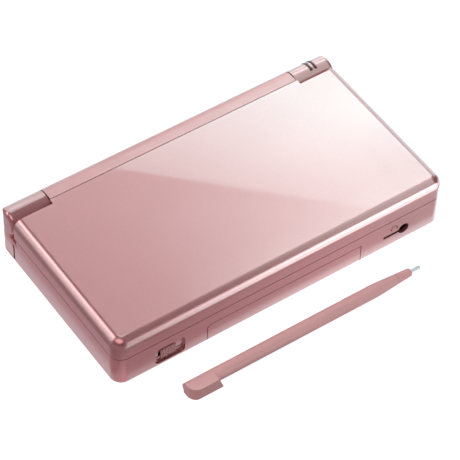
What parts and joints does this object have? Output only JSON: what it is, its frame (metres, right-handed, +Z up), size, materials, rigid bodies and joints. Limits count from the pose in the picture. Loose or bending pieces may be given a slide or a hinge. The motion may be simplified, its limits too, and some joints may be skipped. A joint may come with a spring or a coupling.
{
  "type": "clamshell handheld game console",
  "caption": "Folding pocket game console, closed: base and lid on a rear barrel hinge, two screens inside, keys, card bays, sockets, and a stylus lying beside it.",
  "frame": {"origin": "centre of the console's underside, on the surface it rests on", "axes": "+X to the right along the hinge, +Y from the front face to the hinge, +Z up"},
  "size_m": [0.133, 0.0924, 0.0214],
  "materials": {
    "shell_gloss": "metallic rose, high gloss",
    "shell_satin": "metallic rose, satin",
    "key_plastic": "rose, satin",
    "stylus_plastic": "rose, satin",
    "nib_plastic": "natural white nylon",
    "screw_steel": "plated",
    "contact_gold": "gold plated",
    "battery_wrap": "shrink film",
    "board_green": "solder mask",
    "flex_amber": "polyimide film",
    "inner_black": "moulded",
    "lcd_glass": "polariser over display glass",
    "clear_cover": "clear, polished",
    "light_pipe": "smoked translucent",
    "key_membrane": "silicone",
    "foot_rubber": "matt"
  },
  "bodies": {
    "base": {"lower_case": "shell_gloss", "upper_case": "shell_satin", "battery_cover": "shell_gloss", "battery_cover_screw": "screw_steel", "battery_pack": "battery_wrap", "battery_contacts": "contact_gold", "main_board": "board_green", "board_chips": "inner_black", "rf_shield": "screw_steel", "wifi_module": "board_green", "slot1_reader": "screw_steel", "slot2_connector": "inner_black", "touch_panel": "clear_cover", "lower_lcd": "lcd_glass", "dpad_membrane": "key_membrane", "face_button_membrane": "key_membrane", "start_select_membrane": "key_membrane", "shoulder_pins": "screw_steel", "shoulder_switches": "inner_black", "volume_potentiometer": "screw_steel", "power_switch": "screw_steel", "headphone_jack": "inner_black", "power_connector": "inner_black", "led_pipe_power": "light_pipe", "led_pipe_charge": "light_pipe", "case_screws": "screw_steel", "rubber_feet": "foot_rubber", "strap_bar": "shell_satin", "stylus_silo": "inner_black", "hinge_sleeve_left": "screw_steel", "hinge_unit_right": "screw_steel"},
    "lid": {"lid_case": "shell_gloss", "lid_bezel": "shell_satin", "upper_lcd": "lcd_glass", "upper_window": "clear_cover", "speaker_left": "inner_black", "speaker_right": "inner_black", "screen_flex": "flex_amber", "microphone": "screw_steel", "antenna_strip": "contact_gold", "lid_bumpers": "foot_rubber", "lid_screws": "screw_steel", "hinge_click_housing": "inner_black"},
    "stylus": {"stylus_body": "stylus_plastic", "stylus_nib": "nib_plastic"},
    "dust_cover": {"slot2_dust_cover": "shell_gloss"},
    "direction_pad": {"dpad": "key_plastic"},
    "key_a": {"button_a": "key_plastic"},
    "key_b": {"button_b": "key_plastic"},
    "key_x": {"button_x": "key_plastic"},
    "key_y": {"button_y": "key_plastic"},
    "key_start": {"button_start": "key_plastic"},
    "key_select": {"button_select": "key_plastic"},
    "shoulder_key_left": {"shoulder_left": "shell_gloss"},
    "shoulder_key_right": {"shoulder_right": "shell_gloss"},
    "volume_knob": {"volume_slider": "key_plastic"},
    "power_knob": {"power_slider": "key_plastic"}
  },
  "joints": [
    {"name": "lid_hinge", "type": "hinge", "parent": "base", "child": "lid", "pos_m": [0, 0.032, 0.0163], "axis": [-1, 0, 0], "range_deg": [0, 165]},
    {"name": "stylus_lift", "type": "slide", "parent": "base", "child": "stylus", "axis": [0, 0, 1], "range_m": [0, 0.06]},
    {"name": "dust_cover_slide", "type": "slide", "parent": "base", "child": "dust_cover", "axis": [0, -1, 0], "range_m": [0, 0.0115]},
    {"name": "dpad_press", "type": "slide", "parent": "base", "child": "direction_pad", "axis": [0, 0, -1], "range_m": [0, 0.0005], "stiffness_N_per_m": 1200, "springref_m": -0.00025},
    {"name": "a_press", "type": "slide", "parent": "base", "child": "key_a", "axis": [0, 0, -1], "range_m": [0, 0.0005], "stiffness_N_per_m": 1200, "springref_m": -0.00025},
    {"name": "b_press", "type": "slide", "parent": "base", "child": "key_b", "axis": [0, 0, -1], "range_m": [0, 0.0005], "stiffness_N_per_m": 1200, "springref_m": -0.00025},
    {"name": "x_press", "type": "slide", "parent": "base", "child": "key_x", "axis": [0, 0, -1], "range_m": [0, 0.0005], "stiffness_N_per_m": 1200, "springref_m": -0.00025},
    {"name": "y_press", "type": "slide", "parent": "base", "child": "key_y", "axis": [0, 0, -1], "range_m": [0, 0.0005], "stiffness_N_per_m": 1200, "springref_m": -0.00025},
    {"name": "start_press", "type": "slide", "parent": "base", "child": "key_start", "axis": [0, 0, -1], "range_m": [0, 0.0005], "stiffness_N_per_m": 900, "springref_m": -0.00025},
    {"name": "select_press", "type": "slide", "parent": "base", "child": "key_select", "axis": [0, 0, -1], "range_m": [0, 0.0005], "stiffness_N_per_m": 900, "springref_m": -0.00025},
    {"name": "shoulder_left_press", "type": "hinge", "parent": "base", "child": "shoulder_key_left", "pos_m": [-0.0469, 0.0344, 0.00565], "axis": [0, 0, 1], "range_deg": [0, 2], "stiffness_Nm_per_rad": 0.3, "springref_deg": -1.15},
    {"name": "shoulder_right_press", "type": "hinge", "parent": "base", "child": "shoulder_key_right", "pos_m": [0.0469, 0.0344, 0.00565], "axis": [0, 0, -1], "range_deg": [0, 2], "stiffness_Nm_per_rad": 0.3, "springref_deg": -1.15},
    {"name": "volume_slide", "type": "slide", "parent": "base", "child": "volume_knob", "axis": [1, 0, 0], "range_m": [-0.0012, 0.0012]},
    {"name": "power_slide", "type": "slide", "parent": "base", "child": "power_knob", "axis": [0, 1, 0], "range_m": [0, 0.002], "stiffness_N_per_m": 150, "springref_m": -0.0005}
  ]
}
